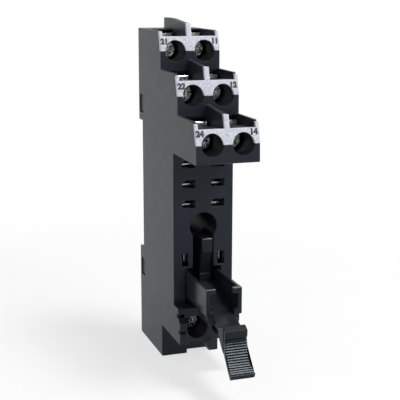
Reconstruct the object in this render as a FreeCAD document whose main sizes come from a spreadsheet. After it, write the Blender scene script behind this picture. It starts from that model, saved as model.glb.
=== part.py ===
import FreeCAD, Part
import math
import os
from types import SimpleNamespace

import Sketcher
from FreeCAD import Placement, Rotation, Vector

# Slim relay socket for a 35 mm mounting rail, in millimetres.
# The origin is the middle of the rail seat. X runs across the socket, the
# rail lies along X behind it, -Y faces the user and +Z is up.

doc = FreeCAD.newDocument("RelaySocket")
sheet = doc.addObject("Spreadsheet::Sheet", "Sizes")

SIZES = [
    # overall body
    ("bodyWidth", 15.8, "across the two side walls"),
    ("sideWall", 0.85, "thickness of each side wall"),
    ("topHeight", 42.5, "top of the body above the rail's middle"),
    ("bottomDepth", 43.6, "bottom of the body below the rail's middle"),
    ("endWall", 0.9, "thickness of the top and bottom walls"),
    ("footReach", 3.36, "how far the feet reach behind the rail seat"),
    ("railSlot", 35.7, "height of the rail recess"),
    ("footFront", 17.48, "front of the lower foot"),
    ("blockBottom", 34.9, "underside of the coil terminal block"),
    ("blockFront", 33.24, "front of the coil terminal block"),
    ("blockStep", 1.5, "how far the block's upper front is set back"),
    ("blockTop", 25.77, "top of the coil terminal block"),
    ("stepLow", 29.2, "lower end of the block's front step"),
    ("stepHigh", 28.4, "upper end of the block's front step"),
    ("seatFront", 28.07, "face that the relay sits on"),
    ("seatSkin", 0.95, "wall between the seat and the contact chambers"),
    ("notchUpper", 27.4, "upper edge notch of the block below the rail's middle"),
    ("notchLower", 31.2, "lower edge notch of the block below the rail's middle"),
    ("notchWide", 1.5, "width of the block's edge notches"),
    ("notchTall", 0.8, "height of the block's edge notches"),
    ("notchDeep", 1.2, "depth of the block's edge notches"),
    # the three stepped tiers of contact terminals
    ("tierFront", 17.67, "front of the top tier"),
    ("tierStep", 14.04, "how far each tier stands before the one above"),
    ("crownRise", 5.0, "top of the body above the top tier's screws"),
    ("tierRound", 0.6, "rounding below the lowest tier's face"),
    ("tierDrop", 9.87, "height from one tier to the next"),
    ("tierLower", 4.55, "upright face below the screw line"),
    ("plateHeight", 4.87, "height of a marking plate at its outer edge"),
    ("plateLean", 1.29, "how far a marking plate leans back over its height"),
    ("plateThick", 1.0, "thickness of a marking plate"),
    ("plateGap", 0.1, "clearance behind a marking plate"),
    ("plateNotch", 3.6, "height of the wire notch's floor"),
    ("plateRim", 0.8, "width of the plate beside a wire notch"),
    ("plateTongue", 6.8, "height of the plate's middle tongue"),
    ("finWidth", 1.3, "thickness of the wall between two terminals"),
    ("finRise", 0.9, "rise of that wall's crest over one tier's step"),
    ("pegRadius", 0.5, "peg on the back of a marking plate"),
    ("pegLength", 1.1, "length of that peg"),
    ("pegHeight", 1.9, "height of that peg above the screw line"),
    ("pegPlay", 0.06, "radial clearance round that peg"),
    # terminals
    ("coilWall", 0.6, "wall between the two coil terminals"),
    ("coilLine", 30.7, "depth of the coil screws below the rail's middle"),
    ("wellRadius", 2.68, "screwdriver well"),
    ("tierHeadDepth", 8.0, "screw head behind a tier's face"),
    ("coilHeadDepth", 6.5, "screw head behind the coil block's face"),
    ("headRadius", 2.35, "screw head"),
    ("headThick", 1.3, "screw head's thickness"),
    ("headRound", 0.35, "rounding of the screw head"),
    ("slotWidth", 0.75, "driver slot"),
    ("slotDepth", 0.7, "depth of the driver slot and cross"),
    ("crossReach", 1.35, "half length of the driver cross"),
    ("shankRadius", 1.5, "screw shank"),
    ("threadPlay", 0.05, "radial clearance round the shank"),
    ("ledge", 0.5, "wall that the screw head bears on"),
    ("play", 0.1, "sliding clearance of the wire clamps"),
    ("wireGap", 1.6, "open wire space between strip and clamp"),
    ("clampSidePlay", 0.3, "clearance beside a wire clamp in a tier's chamber"),
    ("clampDrop", 2.8, "wire clamp's edge away from the wire, from the screw line"),
    ("clampReach", 3.9, "wire clamp's edge that the wire enters, from the screw line"),
    ("clampWall", 0.8, "wire clamp's wall at the screw and behind the wire"),
    ("clampSide", 0.65, "wire clamp's side wall"),
    ("clampRound", 0.5, "rounding of the wire clamp's upright edges"),
    ("tipGap", 0.05, "screw tip to strip"),
    ("chamberPlay", 0.3, "clearance above and below a wire clamp"),
    ("funnelRise", 3.1, "floor of a wire entry above the screw line"),
    ("coilSill", 0.7, "sill of a coil wire entry above the block's underside"),
    ("coilEntryRim", 2.1, "block beside a coil wire entry"),
    # contact strips
    ("stripThick", 0.5, "sheet thickness of the contact strips"),
    ("stripWidth", 3.0, "width of a contact strip"),
    ("stripPlay", 0.15, "clearance of a strip in its slot"),
    ("rowTop", 10.45, "height of the upper row of relay contacts"),
    ("rowPitch", 5.16, "between the rows of relay contacts"),
    ("rowSlotWide", 3.43, "width of a contact slot"),
    ("rowSlotTall", 1.95, "height of a contact slot"),
    ("leafRear", 0.55, "half gap of a receptacle at its root"),
    ("leafPinch", 0.16, "half gap of a receptacle where it grips"),
    ("leafMouth", 0.4, "half gap of a receptacle at its mouth"),
    ("leafLength", 4.2, "length of a receptacle"),
    ("leafPinchBack", 1.3, "grip point behind the mouth"),
    ("leafSetback", 2.0, "mouth behind the seat wall"),
    ("leafInset", 0.5, "coil receptacle inside its slot's height"),
    ("shoulderDrop", 0.6, "coil strip's shoulder below its clamp's edge"),
    ("shoulderRise", 0.8, "height of that shoulder"),
    ("coilSlotX", 4.74, "middle of a coil slot from the centre"),
    ("coilSlotZ", 14.35, "middle of a coil slot below the rail's middle"),
    ("coilSlotWide", 1.75, "width of a coil slot"),
    ("coilSlotTall", 3.5, "height of a coil slot"),
    ("coilLegWide", 2.6, "width of the coil strip's upper leg"),
    ("coilPadPlay", 0.25, "clearance beside the coil strip in its clamp"),
    ("runHeight", 0.8, "bottom wall below the lowest tier's strip"),
    # mounting well, clamp channel and recess
    ("boltHeight", 5.75, "mounting hole below the rail's middle"),
    ("boltWell", 3.55, "radius of the mounting well"),
    ("boltRadius", 2.1, "radius of the mounting hole"),
    ("boltFloor", 6.0, "floor of the mounting well before the rail seat"),
    ("channelHalf", 2.75, "half width of the channel below the well"),
    ("channelDepth", 7.4, "depth of that channel"),
    ("channelTop", 7.4, "top of that channel below the rail's middle"),
    ("recessTop", 16.5, "top of the recess below the seat"),
    ("recessFloor", 24.3, "floor of that recess"),
    # relay clamp
    ("pivotY", 26.6, "clamp's pivot before the rail seat"),
    ("pivotZ", 21.9, "clamp's pivot below the rail's middle"),
    ("pinRadius", 1.0, "clamp's pivot pin"),
    ("pinPlay", 0.06, "radial clearance round that pin"),
    ("armOuter", 4.6, "outer face of a clamp arm from the centre"),
    ("armThick", 0.95, "thickness of a clamp arm"),
    ("armFront", 43.74, "front edge of the arms"),
    ("armRear", 25.0, "rear edge of the arms"),
    ("armTop", 17.5, "top edge of the arms"),
    ("armBottom", 24.3, "bottom edge of the arms"),
    ("armRound", 2.5, "rounding of the arms' upper rear corner"),
    ("lipReach", 1.55, "how far the front lips reach inwards"),
    ("lipTall", 1.5, "height of the upper front lips"),
    ("lipThick", 1.1, "thickness of the front lips"),
    ("bossRadius", 1.15, "round boss at the foot of each arm's front"),
    ("bossRise", 0.6, "middle of that boss above the arms' foot"),
    ("pinReach", 0.85, "length of the pivot pins"),
    ("cheekGap", 0.15, "clamp arm to the wall beside it"),
    ("pinEnd", 0.2, "clearance at the end of a pivot pin"),
    ("leverHalf", 2.9, "half width of the lever behind the thumb piece"),
    ("thumbHalf", 3.05, "half width of the thumb piece at its tip"),
    ("thumbTaper", 0.27, "how much narrower each side is at its top"),
    ("thumbTipY", 56.69, "tip of the thumb piece"),
    ("thumbTipZ", 34.9, "tip of the thumb piece"),
    ("thumbTopY", 52.2, "top front edge of the thumb piece"),
    ("thumbTopZ", 25.4, "top front edge of the thumb piece"),
    ("thumbArcY", 51.64, "start of the ribbed hollow"),
    ("thumbArcZ", 27.6, "start of the ribbed hollow"),
    ("thumbArc", 7.66, "radius of the ribbed hollow"),
    ("gripRadius", 0.24, "radius of a grip rib"),
    ("gripFirst", 2.5, "angle of the first grip rib"),
    ("gripPitch", 4.72, "angle between grip ribs"),
    ("webDeep", 2.0, "height of the cross web"),
    ("floorRun", 9.3, "first slope of the lever's floor, before the web"),
    ("floorFall", 2.4, "fall of that slope"),
    ("floorEnd", 3.3, "fall of the lever's floor at the arms' front"),
    ("dipReach", 3.5, "dip of the lever before the arms"),
    ("dipFall", 1.5, "that dip below the arms"),
    ("thumbBack", 1.9, "thumb piece's back edge behind its top front edge"),
    ("thumbRise", 0.75, "that back edge above the top front edge"),
    ("browLean", 0.15, "lean of the flat above the ribbed hollow"),
    ("browFoot", 0.45, "foot of that flat above the hollow"),
    ("tipTall", 0.55, "height of the tip's front edge"),
    ("tipBack", 1.0, "tip's lower edge behind its front edge"),
    ("tipFall", 1.1, "tip's lower edge below the end of the hollow"),
    ("heelReach", 3.9, "back of the thumb piece before the arms"),
    ("heelFall", 3.95, "foot of that back below the arms"),
    ("heelSet", 0.5, "how much that back leans over its height"),
    ("heelTop", 2.3, "top of that back below the arms"),
    ("keelFront", 4.9, "front of the lever's keel behind the arms' front"),
    ("keelFall", 1.95, "front of that keel below the arms"),
    ("keelRear", 8.3, "rear of the lever's keel behind the arms' front"),
    ("keelEnd", 0.7, "rear of that keel below the arms"),
    ("waistSet", 0.4, "lever narrows behind the arms' front by this"),
    ("waistEnd", 1.6, "thumb piece starts behind its top front edge"),
    ("waistStep", 0.2, "length of the step from lever to thumb piece"),
    ("webTop", 21.1, "top of the cross web"),
    ("webFront", 26.32, "front of the cross web"),
    ("webRear", 24.9, "rear of the cross web"),
    ("tongueLeft", 0.35, "left side of the ejector tongue"),
    ("tongueRight", 2.6, "right side of the ejector tongue"),
    ("tongueStep", 18.8, "top of the tongue's lower step"),
    ("neckTop", 27.8, "front of the tongue's neck below the ejector pad"),
    ("neckFoot", 25.9, "front of the tongue's neck above its step"),
    ("neckRear", 22.4, "rear of the tongue's neck"),
    ("padTop", 9.1, "top of the ejector pad"),
    ("padBottom", 12.6, "bottom of the ejector pad"),
    # rear cover and rail clip
    ("coverThick", 1.6, "thickness of the rear cover"),
    ("coverPlay", 0.1, "clearance round the rear cover"),
    ("hookDrop", 1.3, "how far the fixed hook covers the rail"),
    ("hookGap", 1.2, "space for the rail's flange"),
    ("hookLip", 0.5, "thickness of the hook's and the nose's edge"),
    ("hookSlope", 0.4, "drop of the hook's rear face"),
    ("windowUpper", 22.4, "middle of the upper snap window"),
    ("windowLower", 23.55, "middle of the lower snap window below the rail"),
    ("windowTall", 4.85, "height of a snap window"),
    ("windowFront", 1.04, "front of a snap window"),
    ("windowRear", 2.2, "rear of a snap window"),
    ("lugSink", 0.3, "snap lug behind the side wall's face"),
    ("lugPlay", 0.2, "clearance round a snap lug"),
    ("lugArm", 0.75, "thickness of the arm that carries a lug"),
    ("clipHalf", 5.2, "half width of the rail clip"),
    ("clipFlange", 0.7, "width of the clip's guide flanges"),
    ("clipPlay", 0.1, "sliding clearance of the rail clip"),
    ("clipFront", 0.7, "front face of the rail clip"),
    ("clipRear", 3.1, "rear face of the rail clip"),
    ("clipNose", 1.3, "how far the clip's nose covers the rail"),
    ("clipNoseFall", 1.3, "slope of the clip's nose"),
    ("clipCoreRise", 7.45, "foot of the clip's thick part above the bottom"),
    ("clipFootRise", 3.8, "foot of the clip's flanges above the bottom"),
    ("clipTravel", 2.4, "how far the rail clip slides down"),
    ("tabLeft", 0.7, "left side of the clip's pull tab"),
    ("tabRight", 5.1, "right side of the clip's pull tab"),
    ("tabPlay", 0.2, "clearance round the pull tab"),
    ("eyeWide", 3.2, "screwdriver eye in the pull tab"),
    ("eyeTall", 0.9, "screwdriver eye in the pull tab"),
    ("eyeRise", 1.9, "foot of that eye above the bottom"),
    ("tabRise", 0.1, "foot of the pull tab above the bottom"),
    # foot and lower fin
    ("finLower", 0.95, "half thickness of the wall between the coil wire entries"),
    ("tabHalf", 0.8, "half width of the tab under the coil block"),
    ("tabDrop", 1.45, "how far that tab hangs below the block"),
    ("tabProud", 0.6, "how far that tab stands before the block"),
    ("tabDeep", 3.2, "depth of that tab"),
    ("tabLedge", 0.9, "top of that tab above the block's underside"),
    ("tabCorner", 0.45, "chamfer of that tab's lower corners"),
    ("stiffener", 0.9, "thickness of the foot's inner ribs"),
    ("stiffenerX", 3.2, "inner ribs of the foot from the centre"),
]


class Size:
    # A named size, or a sum worked out from named sizes, that keeps both its
    # text for the document and its value in millimetres.
    def __init__(self, text, value):
        self.text = text
        self.value = value

    def join(self, sign, other, value, swap=False):
        first, second = (as_size(other), self) if swap else (self, as_size(other))
        return Size(f"({first.text} {sign} {second.text})", value)

    def __add__(self, other):
        return self.join("+", other, self.value + number(other))

    def __radd__(self, other):
        return self.join("+", other, self.value + number(other), swap=True)

    def __sub__(self, other):
        return self.join("-", other, self.value - number(other))

    def __rsub__(self, other):
        return self.join("-", other, number(other) - self.value, swap=True)

    def __mul__(self, other):
        return self.join("*", other, self.value * number(other))

    def __rmul__(self, other):
        return self.join("*", other, self.value * number(other), swap=True)

    def __truediv__(self, other):
        return self.join("/", other, self.value / number(other))

    def __neg__(self):
        return Size(f"(-1 * {self.text})", -self.value)


def as_size(amount):
    return amount if isinstance(amount, Size) else Size(f"({amount})", float(amount))


def number(amount):
    return as_size(amount).value


def cosine(degrees):
    return Size(f"cos({as_size(degrees).text})", math.cos(math.radians(number(degrees))))


def sine(degrees):
    return Size(f"sin({as_size(degrees).text})", math.sin(math.radians(number(degrees))))


for row, (alias, value, note) in enumerate(SIZES, start=1):
    sheet.set(f"A{row}", note)
    sheet.set(f"B{row}", str(value))
    sheet.setAlias(f"B{row}", alias)
doc.recompute()
s = SimpleNamespace(**{alias: Size(f"Sizes.{alias}", value) for alias, value, note in SIZES})


# Building blocks

NEARLY_ZERO = 1e-6
NEARLY_ONE = 0.999
NEAR = 0.01


def place(feature, spot):
    for axis, amount in zip("xyz", spot):
        feature.setExpression(f"Placement.Base.{axis}", as_size(amount).text)


def box(name, x, y, z):
    # a block between two named limits on each axis
    block = doc.addObject("Part::Box", name)
    for side, (low, high) in zip(("Length", "Width", "Height"), (x, y, z)):
        block.setExpression(side, (as_size(high) - low).text)
    place(block, (x[0], y[0], z[0]))
    return block


TURNS = {"x": Rotation(Vector(0, 1, 0), 90), "y": Rotation(Vector(1, 0, 0), -90), "z": Rotation()}


def rod(name, axis, radius, centre, span):
    # a cylinder along one axis, from span[0] to span[1]
    bar = doc.addObject("Part::Cylinder", name)
    bar.Placement = Placement(Vector(), TURNS[axis])
    bar.setExpression("Radius", as_size(radius).text)
    bar.setExpression("Height", (as_size(span[1]) - span[0]).text)
    spot = list(centre)
    spot.insert("xyz".index(axis), span[0])
    place(bar, spot)
    return bar


def body(label):
    return doc.addObject("PartDesign::Body", label)


def plane(owner, role):
    return next(item for item in owner.Origin.OriginFeatures if item.Role == role)


def outline(owner, name, role, points, offset=0):
    # a closed outline: each point is (across, up), or (across, up, radius)
    # where the side that starts there is an arc: it bulges right of its way,
    # or left where the radius is negative
    sketch = owner.newObject("Sketcher::SketchObject", name)
    sketch.AttachmentSupport = (plane(owner, role), [""])
    sketch.MapMode = "FlatFace"
    sketch.setExpression("AttachmentOffset.Base.z", as_size(offset).text)
    count = len(points)
    for index, point in enumerate(points):
        start = Vector(number(point[0]), number(point[1]), 0)
        after = points[(index + 1) % count]
        end = Vector(number(after[0]), number(after[1]), 0)
        if len(point) == 3:
            sketch.addGeometry(arc_between(start, end, number(point[2])), False)
        else:
            sketch.addGeometry(Part.LineSegment(start, end), False)
    for index, point in enumerate(points):
        head, tail = ends_of(sketch, index)
        next_head = ends_of(sketch, (index + 1) % count)[0]
        sketch.addConstraint(Sketcher.Constraint("Coincident", index, tail, (index + 1) % count, next_head))
        for kind, amount in (("DistanceX", point[0]), ("DistanceY", point[1])):
            pinned = Sketcher.Constraint(kind, -1, 1, index, head, number(amount))
            place_in_list = sketch.addConstraint(pinned)
            if isinstance(amount, Size):
                sketch.setExpression(f"Constraints[{place_in_list}]", amount.text)
        if len(point) == 3:
            radius = point[2] if number(point[2]) > 0 else -point[2]
            place_in_list = sketch.addConstraint(Sketcher.Constraint("Radius", index, number(radius)))
            sketch.setExpression(f"Constraints[{place_in_list}]", radius.text)
    return sketch


def arc_between(start, end, radius):
    half = (end - start) * 0.5
    inward = Vector(-half.y, half.x, 0).normalize() * math.copysign(1, radius)
    rise = math.sqrt(radius * radius - half.Length * half.Length)
    centre = start + half + inward * rise
    middle = centre - inward * abs(radius)
    return Part.Arc(start, middle, end) if radius > 0 else Part.Arc(end, middle, start)


def ends_of(sketch, index):
    # an arc always runs anticlockwise, so its own start may be the side's end
    side = sketch.Geometry[index]
    apart = side.StartPoint.distanceToPoint(sketch_start(sketch, index))
    if isinstance(side, Part.ArcOfCircle) and apart > NEARLY_ZERO:
        return 2, 1
    return 1, 2


def sketch_start(sketch, index):
    before = sketch.Geometry[index - 1]
    side = sketch.Geometry[index]
    near = [spot for spot in (before.StartPoint, before.EndPoint)
            if min(spot.distanceToPoint(side.StartPoint), spot.distanceToPoint(side.EndPoint)) < NEARLY_ZERO]
    return near[0]


def pad(owner, name, sketch, length, both=True):
    feature = owner.newObject("PartDesign::Pad", name)
    feature.Profile = sketch
    feature.Midplane = both
    feature.setExpression("Length", as_size(length).text)
    return feature


def prism(label, role, points, span):
    # one outline pushed along the third axis from span[0] to span[1]
    owner = body(label)
    sketch = outline(owner, label + "_outline", role, points, span[0])
    pad(owner, label + "_pad", sketch, as_size(span[1]) - span[0], both=False)
    return owner


def fuse(label, pieces):
    joined = doc.addObject("Part::MultiFuse", label)
    joined.Shapes = pieces
    joined.Refine = True
    return joined


def cut(label, base, tools):
    doc.recompute()
    left = doc.addObject("Part::Cut", label)
    left.Base = base
    left.Tool = tools[0] if len(tools) == 1 else fuse(label + "_cuts", tools)
    left.Refine = True
    return left


def soften(label, base, radius, wanted):
    # rounds the edges that wanted(edge) picks
    doc.recompute()
    rounded = doc.addObject("Part::Fillet", label)
    rounded.Base = base
    amount = number(radius)
    rounded.Edges = [(index, amount, amount) for index, edge in enumerate(base.Shape.Edges, start=1)
                     if wanted(edge)]
    return rounded


def straight(edge, axis):
    if edge.Curve.TypeId != "Part::GeomLine":
        return False
    way = edge.Curve.Direction
    return abs(getattr(way, axis)) > NEARLY_ONE


# Places that several pieces share

HALF = s.bodyWidth / 2
INNER = HALF - s.sideWall
SIDES = (-1, 1)
PAST = 1
BITE = 0.2
GRIP_RIBS = 15
ACROSS = (s.finWidth / 2 + INNER) / 2
CLAMP_WIDTH = INNER - s.finWidth / 2 - 2 * s.clampSidePlay
COIL_NEAR = s.coilWall / 2
COIL_FAR = COIL_NEAR + CLAMP_WIDTH + 2 * s.play
COIL_ACROSS = (COIL_NEAR + COIL_FAR) / 2
TOP_LINE = s.topHeight - s.crownRise
CLIP_CORE_FOOT = -s.bottomDepth + s.clipCoreRise
CLIP_FOOT = -s.bottomDepth + s.clipFootRise
LEAN = s.plateLean / s.plateHeight
POCKET = -s.coverThick - s.coverPlay
TIERS = ("top", "middle", "bottom")
TIER_NAMES = {"top": ("21", "11"), "middle": ("22", "12"), "bottom": ("24", "14")}


def tier(index):
    # the front, the screw line, the underside and the top of one tier
    front = -(s.tierFront + index * s.tierStep)
    line = TOP_LINE - index * s.tierDrop
    under = line - s.tierLower
    top = s.topHeight if index == 0 else line + s.tierDrop - s.tierLower
    return SimpleNamespace(front=front, line=line, under=under, top=top)


def terminal_places():
    # every terminal: name, side, middle across, front face, screw line, depth of its head
    places = []
    for index, name in enumerate(TIERS):
        here = tier(index)
        for side, mark in zip(SIDES, TIER_NAMES[name]):
            places.append(SimpleNamespace(mark=mark, side=side, across=side * ACROSS,
                                          front=here.front, line=here.line,
                                          head=here.front + s.tierHeadDepth, row=index))
    for side, mark in zip(SIDES, ("a2", "a1")):
        places.append(SimpleNamespace(mark=mark, side=side, across=side * COIL_ACROSS,
                                      front=-s.blockFront, line=-s.coilLine,
                                      head=-s.blockFront + s.coilHeadDepth, row=3))
    return places


TERMINALS = terminal_places()


def chamber_front(terminal):
    return terminal.head + s.headThick + s.ledge


def clamp_front(terminal):
    return chamber_front(terminal) + s.play + s.wireGap


def strip_front(terminal):
    return clamp_front(terminal) + s.clampWall + s.tipGap


def between(side, near, far):
    # limits across the socket, from near to far on the given side
    low, high = as_size(side * as_size(near)), as_size(side * as_size(far))
    return (low, high) if side > 0 else (high, low)


# Marking plates: pale plates that lean back over each pair of screws


def plate_back(here, height):
    return here.front + s.plateThick + LEAN * (as_size(height) - here.line)


def marking_plate(index, name):
    here = tier(index)
    inner = s.finWidth / 2
    rim = HALF - s.plateRim
    low, notch, top = here.line, here.line + s.plateNotch, here.line + s.plateHeight
    tip = here.line + s.plateTongue
    face = [(-HALF, low), (HALF, low), (HALF, top), (rim, top), (rim, notch), (inner, notch),
            (inner, tip), (-inner, tip), (-inner, notch), (-rim, notch), (-rim, top), (-HALF, top)]
    front = prism(f"plate_{name}_face", "XZ_Plane", face,
                  (-here.front - s.tierStep, -here.front + s.tierStep))
    lean = [(here.front, low), (here.front + s.plateThick, low),
            (plate_back(here, tip), tip), (here.front + LEAN * s.plateTongue, tip)]
    slab = prism(f"plate_{name}_slab", "YZ_Plane", lean, (-HALF, HALF))
    doc.recompute()
    leaning = doc.addObject("Part::Common", f"plate_{name}_leaning")
    leaning.Base = slab
    leaning.Tool = front
    peg_start = here.front + s.plateThick / 2
    peg_end = plate_back(here, here.line + s.pegHeight) + s.pegLength
    peg = rod(f"plate_{name}_peg", "y", s.pegRadius, (0, here.line + s.pegHeight), (peg_start, peg_end))
    wells = [rod(f"plate_{name}_well_{side + 1}", "y", s.wellRadius, (side * ACROSS, here.line),
                 (here.front - PAST, here.front + s.tierHeadDepth)) for side in SIDES]
    return cut(f"marking_plate_{name}", fuse(f"plate_{name}_solid", [leaning, peg]), wells)


# Housing: one moulding, open behind, with a column of chambers on each side


def housing_profile():
    rear, seat = s.footReach, -s.seatFront
    front, upper = -s.blockFront, -s.blockFront + s.blockStep
    points = [(rear, -s.bottomDepth), (rear, -s.railSlot / 2), (0, -s.railSlot / 2), (0, s.railSlot / 2),
              (rear, s.railSlot / 2), (rear, s.topHeight)]
    for index in range(len(TIERS)):
        here = tier(index)
        back = s.plateThick + s.plateGap
        points += [(here.front + back + LEAN * (here.top - here.line), here.top),
                   (here.front + back, here.line), (here.front, here.line)]
        if index < len(TIERS) - 1:
            points.append((here.front, here.under))
    points += [(here.front, here.under + s.tierRound, s.tierRound), (here.front + s.tierRound, here.under)]
    points += [(seat, here.under), (seat, -s.blockTop), (upper, -s.blockTop), (upper, -s.stepHigh),
               (front, -s.stepLow), (front, -s.blockBottom), (-s.footFront, -s.blockBottom),
               (-s.footFront, -s.bottomDepth)]
    return points


def terminal_cuts(terminal):
    name = f"cut_{terminal.mark}"
    edge = s.finWidth / 2
    start = chamber_front(terminal)
    cuts = [rod(name + "_well", "y", s.wellRadius, (terminal.across, terminal.line),
                (terminal.front - PAST, terminal.head + s.headThick)),
            rod(name + "_shank", "y", s.shankRadius + s.play, (terminal.across, terminal.line),
                (terminal.head, start + PAST))]
    across = between(terminal.side, edge, INNER)
    low, high = clamp_span(terminal)
    low, high = low - s.chamberPlay, high + s.chamberPlay
    if terminal.row < 3:
        here = tier(terminal.row)
        cuts.append(box(name + "_chamber", across, (start, POCKET), (low, high)))
        rear = clamp_front(terminal) + clamp_depth() + s.play
        cuts.append(box(name + "_entry", across, (start, rear), (terminal.line, here.top - s.stripThick)))
        mouth_rear = here.front + s.tierStep
        crest = here.line + s.plateTongue + s.finRise + PAST
        floor_front = plate_back(here, here.line + s.plateNotch) + s.plateGap
        mouth = [(here.front, here.line + s.plateNotch), (floor_front, here.line + s.plateNotch),
                 (start, here.line + s.funnelRise), (mouth_rear, here.line + s.funnelRise), (mouth_rear, crest),
                 (here.front, crest)]
        cuts.append(prism(name + "_mouth", "YZ_Plane", mouth, across))
    else:
        chamber = between(terminal.side, COIL_NEAR, COIL_FAR)
        cuts.append(box(name + "_chamber", chamber, (start, POCKET), (low, high)))
        before, below = -s.blockFront - PAST, -s.blockBottom - PAST
        sill, rear = -s.blockBottom + s.coilSill, clamp_front(terminal) + clamp_depth() + s.play
        mouth = [(before, below), (before, sill), (-s.blockFront + s.endWall, sill),
                 (start, low), (rear, low), (rear, below)]
        narrow = between(terminal.side, s.finLower, HALF - s.coilEntryRim)
        cuts.append(prism(name + "_mouth", "YZ_Plane", mouth, narrow))
    return cuts


def clamp_span(terminal):
    # lower and upper edge of a wire clamp; the wire enters a tier from above, the coil block from below
    if terminal.row < 3:
        return terminal.line - s.clampDrop, terminal.line + s.clampReach
    return terminal.line - s.clampReach, terminal.line + s.clampDrop


def clamp_depth():
    return 2 * s.clampWall + s.tipGap + s.stripThick + s.wireGap


def row_height(index):
    # the relay's contact rows, from the top: open, closed and common contacts
    return s.rowTop - index * s.rowPitch


ROW_OF_TIER = (2, 1, 0)


def fork_rear():
    return -s.seatFront + s.seatSkin + s.leafSetback + s.leafLength


def strip_leg_front(tier_index):
    # front of each strip's upright leg; the lowest tier's leg is its receptacle's web
    if tier_index == 2:
        return fork_rear()
    return strip_front(SimpleNamespace(head=tier(tier_index).front + s.tierHeadDepth))


def strip_cuts(side):
    cuts = []
    name = f"strip_cut_{side + 1}"
    middle = side * ACROSS
    half = s.stripWidth / 2 + s.stripPlay
    across = (middle - half, middle + half)
    tall = s.leafRear + s.stripThick + s.stripPlay
    for index in range(len(TIERS)):
        height = row_height(index)
        cuts.append(box(f"{name}_row{index}", across, (-s.seatFront + s.seatSkin, POCKET),
                        (height - tall, height + tall)))
        slot = between(side, ACROSS - s.rowSlotWide / 2, ACROSS + s.rowSlotWide / 2)
        cuts.append(box(f"{name}_slot{index}", slot, (-s.seatFront - PAST, -s.seatFront + s.seatSkin + BITE),
                        (height - s.rowSlotTall / 2, height + s.rowSlotTall / 2)))
    for tier_index, row in enumerate(ROW_OF_TIER):
        leg = strip_leg_front(tier_index)
        upper = tier(tier_index).line
        cuts.append(box(f"{name}_leg{tier_index}", across, (leg - s.stripPlay, POCKET),
                        (row_height(row), upper)))
    bottom = tier(2)
    run = bottom.under + s.runHeight
    cuts.append(box(f"{name}_run", across, (strip_front(TERMINALS[4]) - s.stripPlay, POCKET),
                    (run, bottom.line)))
    return cuts


def coil_cuts(side):
    name = f"coil_cut_{side + 1}"
    half = s.coilLegWide / 2 + s.stripPlay
    near, far = s.coilSlotX - half, s.coilSlotX + half
    leg = strip_front(TERMINALS[6])
    tall = s.coilSlotTall / 2 + s.stripPlay
    slot = between(side, s.coilSlotX - s.coilSlotWide / 2, s.coilSlotX + s.coilSlotWide / 2)
    fork = s.leafRear + s.stripThick + s.stripPlay
    return [
        box(name + "_fork", between(side, s.coilSlotX - fork, s.coilSlotX + fork),
            (-s.seatFront + s.seatSkin, POCKET), (-s.coilSlotZ - tall, -s.coilSlotZ + tall)),
        box(name + "_leg", between(side, near, far), (leg - s.stripPlay, POCKET),
            (-s.coilLine, -s.coilSlotZ + tall)),
        box(name + "_slot", slot, (-s.seatFront - PAST, -s.seatFront + s.seatSkin + BITE),
            (-s.coilSlotZ - s.coilSlotTall / 2, -s.coilSlotZ + s.coilSlotTall / 2)),
    ]


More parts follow.
